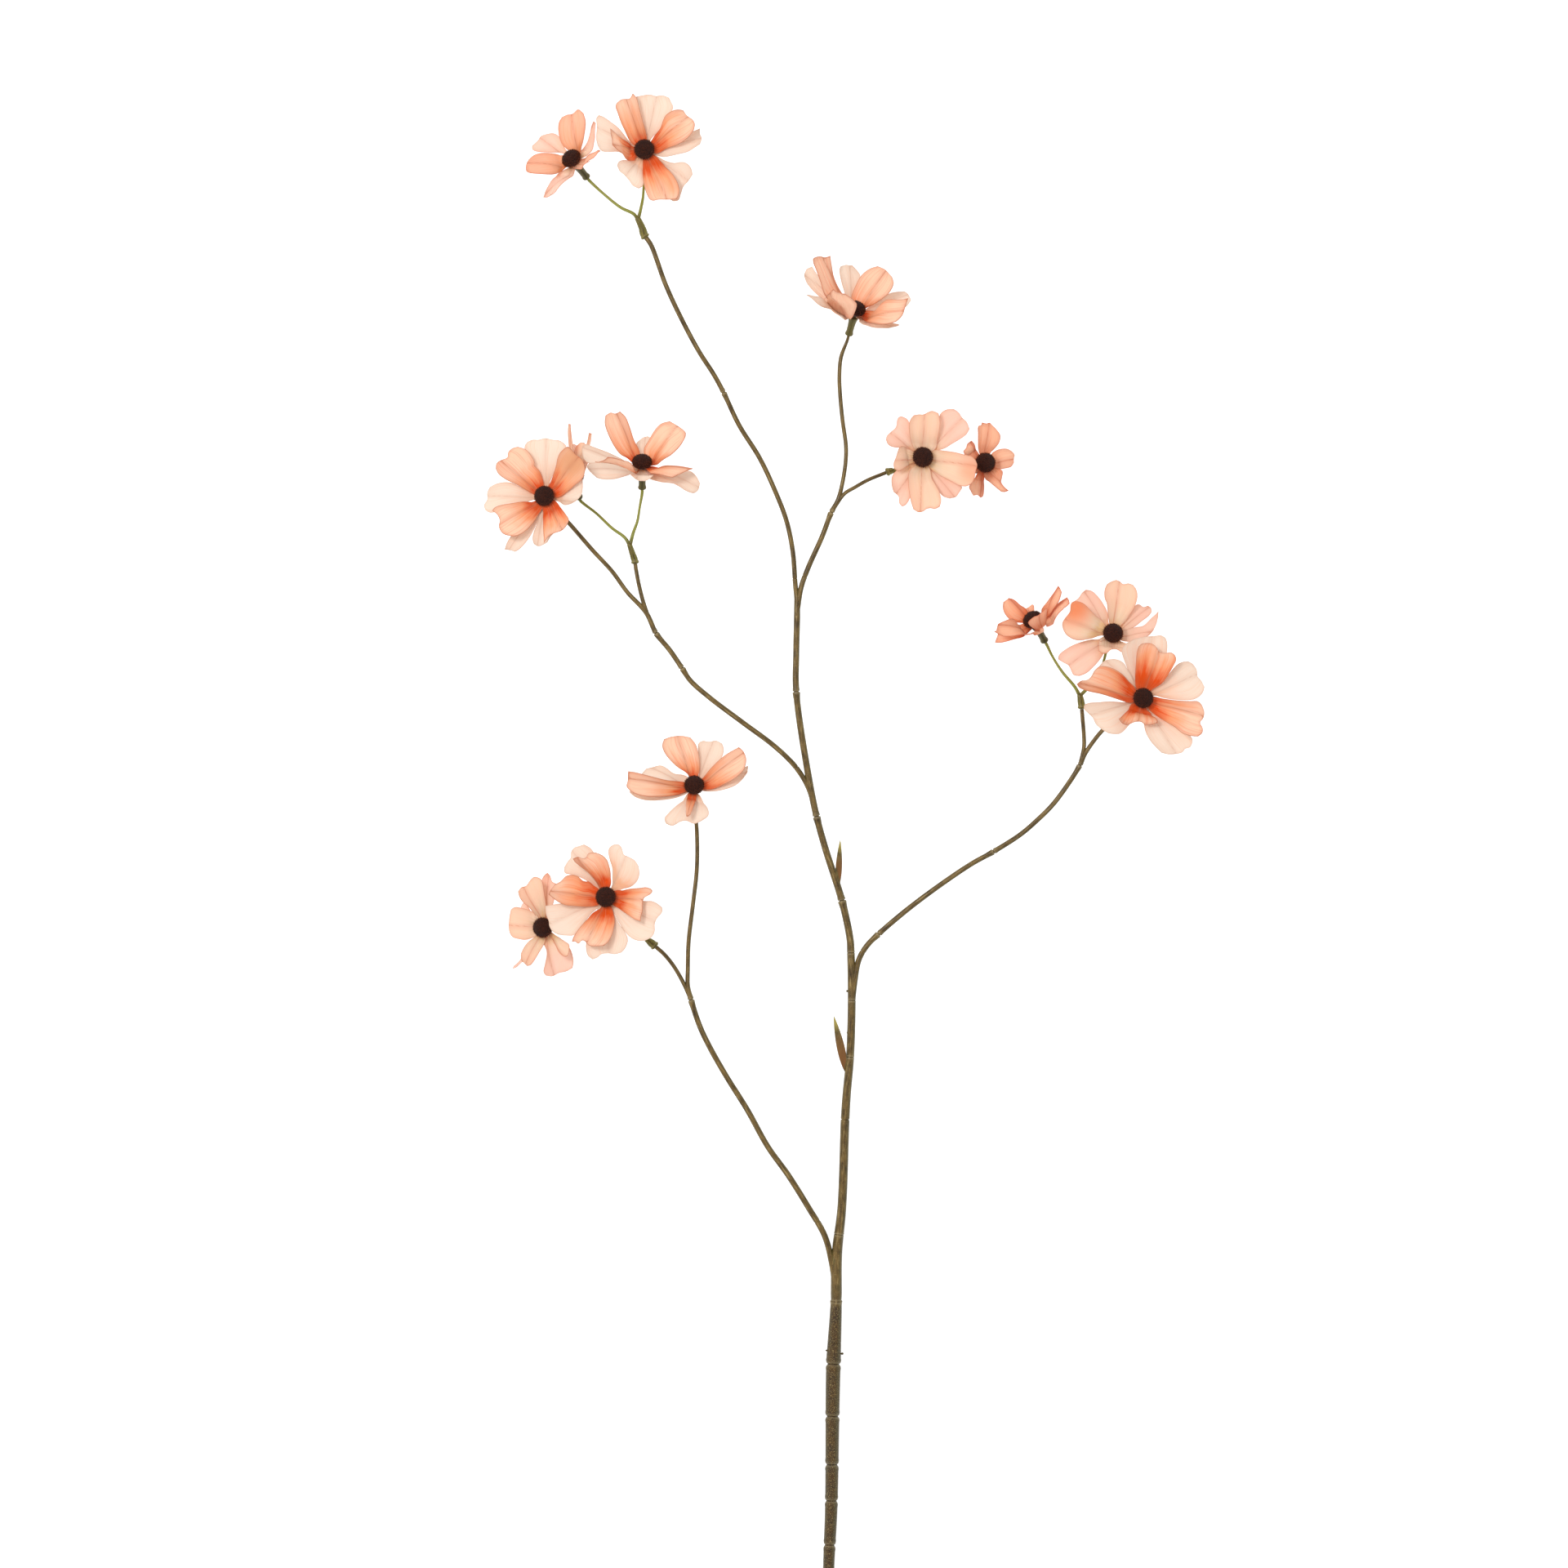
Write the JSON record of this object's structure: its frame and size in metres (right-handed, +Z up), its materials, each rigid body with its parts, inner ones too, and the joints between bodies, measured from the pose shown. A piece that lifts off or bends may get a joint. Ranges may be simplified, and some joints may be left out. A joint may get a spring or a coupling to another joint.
{
  "type": "artificial cosmos flower spray",
  "caption": "Artificial cosmos spray lying flat: a moulded stem with forked side branches and open orange, cream and salmon fabric blossoms with dark flocked centres.",
  "frame": {"origin": "centre of the bounding box on the plane the spray lies on", "axes": "+Z up from the surface it lies on, +Y along the spray from the cut end of the stem to the top blossoms, +X to the right when it is looked down on with the top blossoms away"},
  "size_m": [0.3531, 0.7631, 0.0523],
  "materials": {
    "wire": "drawn steel wire, satin",
    "stem": "olive brown moulded plastic, speckled, matte",
    "pedicel": "yellow green moulded plastic, matte",
    "calyx": "dark olive moulded plastic, matte",
    "centre": "dark brown flock with a reddish brown fringe",
    "petal_orange_front": "stiff woven fabric, printed orange fading to peach at the tip",
    "petal_orange_back": "stiff woven fabric, pale peach",
    "petal_cream_front": "stiff woven fabric, cream yellow root and salmon edge",
    "petal_cream_back": "stiff woven fabric, pale salmon",
    "petal_salmon_front": "stiff woven fabric, salmon",
    "petal_salmon_back": "stiff woven fabric, light salmon"
  },
  "bodies": {
    "root": {"wire_core": "wire", "stem_base": "stem", "stem_main": "stem", "stem_upper": "stem", "branch_low_left": "stem", "branch_right": "stem", "branch_middle_left": "stem", "branch_top_left": "stem", "branch_top_right": "stem", "pedicels_01_02": "pedicel", "pedicels_04_05": "pedicel", "pedicels_07_08": "pedicel", "pedicels_09_10": "pedicel", "pedicels_13_14": "pedicel", "calyx_03": "calyx", "calyx_06": "calyx", "calyx_11": "calyx", "calyx_12": "calyx", "petals_back_01": "petal_cream_back", "petals_front_01": "petal_cream_front", "centre_01": "centre", "petals_back_02": "petal_orange_back", "petals_front_02": "petal_orange_front", "centre_02": "centre", "petals_back_03": "petal_orange_back", "petals_front_03": "petal_orange_front", "centre_03": "centre", "petals_back_04": "petal_cream_back", "petals_front_04": "petal_cream_front", "centre_04": "centre", "petals_back_05": "petal_salmon_back", "petals_front_05": "petal_salmon_front", "centre_05": "centre", "petals_back_06": "petal_orange_back", "petals_front_06": "petal_orange_front", "centre_06": "centre", "petals_back_07": "petal_orange_back", "petals_front_07": "petal_orange_front", "centre_07": "centre", "petals_back_08": "petal_cream_back", "petals_front_08": "petal_cream_front", "centre_08": "centre", "petals_back_09": "petal_salmon_back", "petals_front_09": "petal_salmon_front", "centre_09": "centre", "petals_back_10": "petal_cream_back", "petals_front_10": "petal_cream_front", "centre_10": "centre", "petals_back_11": "petal_orange_back", "petals_front_11": "petal_orange_front", "centre_11": "centre", "petals_back_12": "petal_orange_back", "petals_front_12": "petal_orange_front", "centre_12": "centre", "petals_back_13": "petal_orange_back", "petals_front_13": "petal_orange_front", "centre_13": "centre", "petals_back_14": "petal_cream_back", "petals_front_14": "petal_cream_front", "centre_14": "centre"}
  },
  "joints": []
}
